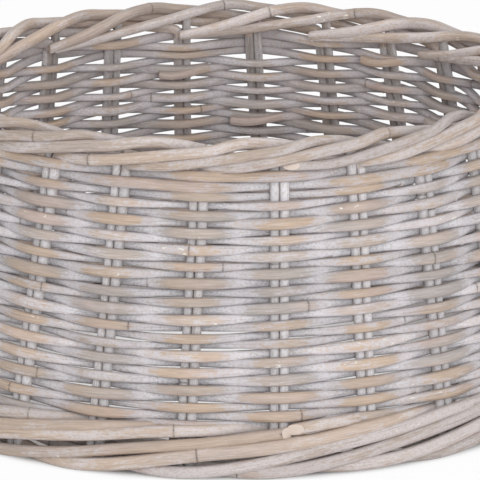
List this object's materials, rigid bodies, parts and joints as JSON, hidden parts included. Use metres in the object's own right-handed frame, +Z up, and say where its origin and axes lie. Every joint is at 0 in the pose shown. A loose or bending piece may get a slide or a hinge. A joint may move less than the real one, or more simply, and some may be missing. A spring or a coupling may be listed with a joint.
{
  "type": "christmas tree collar",
  "caption": "Open conical collar of whitewashed wicker that stands round the foot of a Christmas tree and hides its stand, with a rolled border at foot and rim.",
  "frame": {"origin": "on the floor, on the collar's axis", "axes": "+Z up along the collar's axis, -Y towards the viewer of the picture, +X to that viewer's right"},
  "size_m": [0.601, 0.601, 0.2618],
  "materials": {
    "upright_rods": "grey whitewash, matte",
    "weaving_rods": "grey whitewash with worn patches, matte to satin",
    "foot_border_rods": "thin whitewash over tan bark, satin",
    "rim_border_rods": "thin whitewash over tan bark, satin"
  },
  "bodies": {
    "root": {"upright_pair_01": "upright_rods", "upright_pair_02": "upright_rods", "upright_pair_03": "upright_rods", "upright_pair_04": "upright_rods", "upright_pair_05": "upright_rods", "upright_pair_06": "upright_rods", "upright_pair_07": "upright_rods", "upright_pair_08": "upright_rods", "upright_pair_09": "upright_rods", "upright_pair_10": "upright_rods", "upright_pair_11": "upright_rods", "upright_pair_12": "upright_rods", "upright_pair_13": "upright_rods", "upright_pair_14": "upright_rods", "upright_pair_15": "upright_rods", "upright_pair_16": "upright_rods", "upright_pair_17": "upright_rods", "upright_pair_18": "upright_rods", "upright_pair_19": "upright_rods", "upright_pair_20": "upright_rods", "upright_pair_21": "upright_rods", "upright_pair_22": "upright_rods", "upright_pair_23": "upright_rods", "upright_pair_24": "upright_rods", "weave_row_01": "weaving_rods", "weave_row_02": "weaving_rods", "weave_row_03": "weaving_rods", "weave_row_04": "weaving_rods", "weave_row_05": "weaving_rods", "weave_row_06": "weaving_rods", "weave_row_07": "weaving_rods", "weave_row_08": "weaving_rods", "weave_row_09": "weaving_rods", "weave_row_10": "weaving_rods", "weave_row_11": "weaving_rods", "weave_row_12": "weaving_rods", "weave_row_13": "weaving_rods", "weave_row_14": "weaving_rods", "weave_row_15": "weaving_rods", "weave_row_16": "weaving_rods", "weave_row_17": "weaving_rods", "weave_row_18": "weaving_rods", "weave_row_19": "weaving_rods", "weave_row_20": "weaving_rods", "weave_row_21": "weaving_rods", "weave_row_22": "weaving_rods", "weave_row_23": "weaving_rods", "weave_row_24": "weaving_rods", "weave_row_25": "weaving_rods", "weave_row_26": "weaving_rods", "weave_row_27": "weaving_rods", "wale_row_01": "weaving_rods", "wale_row_02": "weaving_rods", "foot_strand_01": "foot_border_rods", "rim_strand_01": "rim_border_rods", "rim_strand_02": "rim_border_rods", "rim_strand_03": "rim_border_rods", "rim_strand_04": "rim_border_rods"}
  },
  "joints": []
}
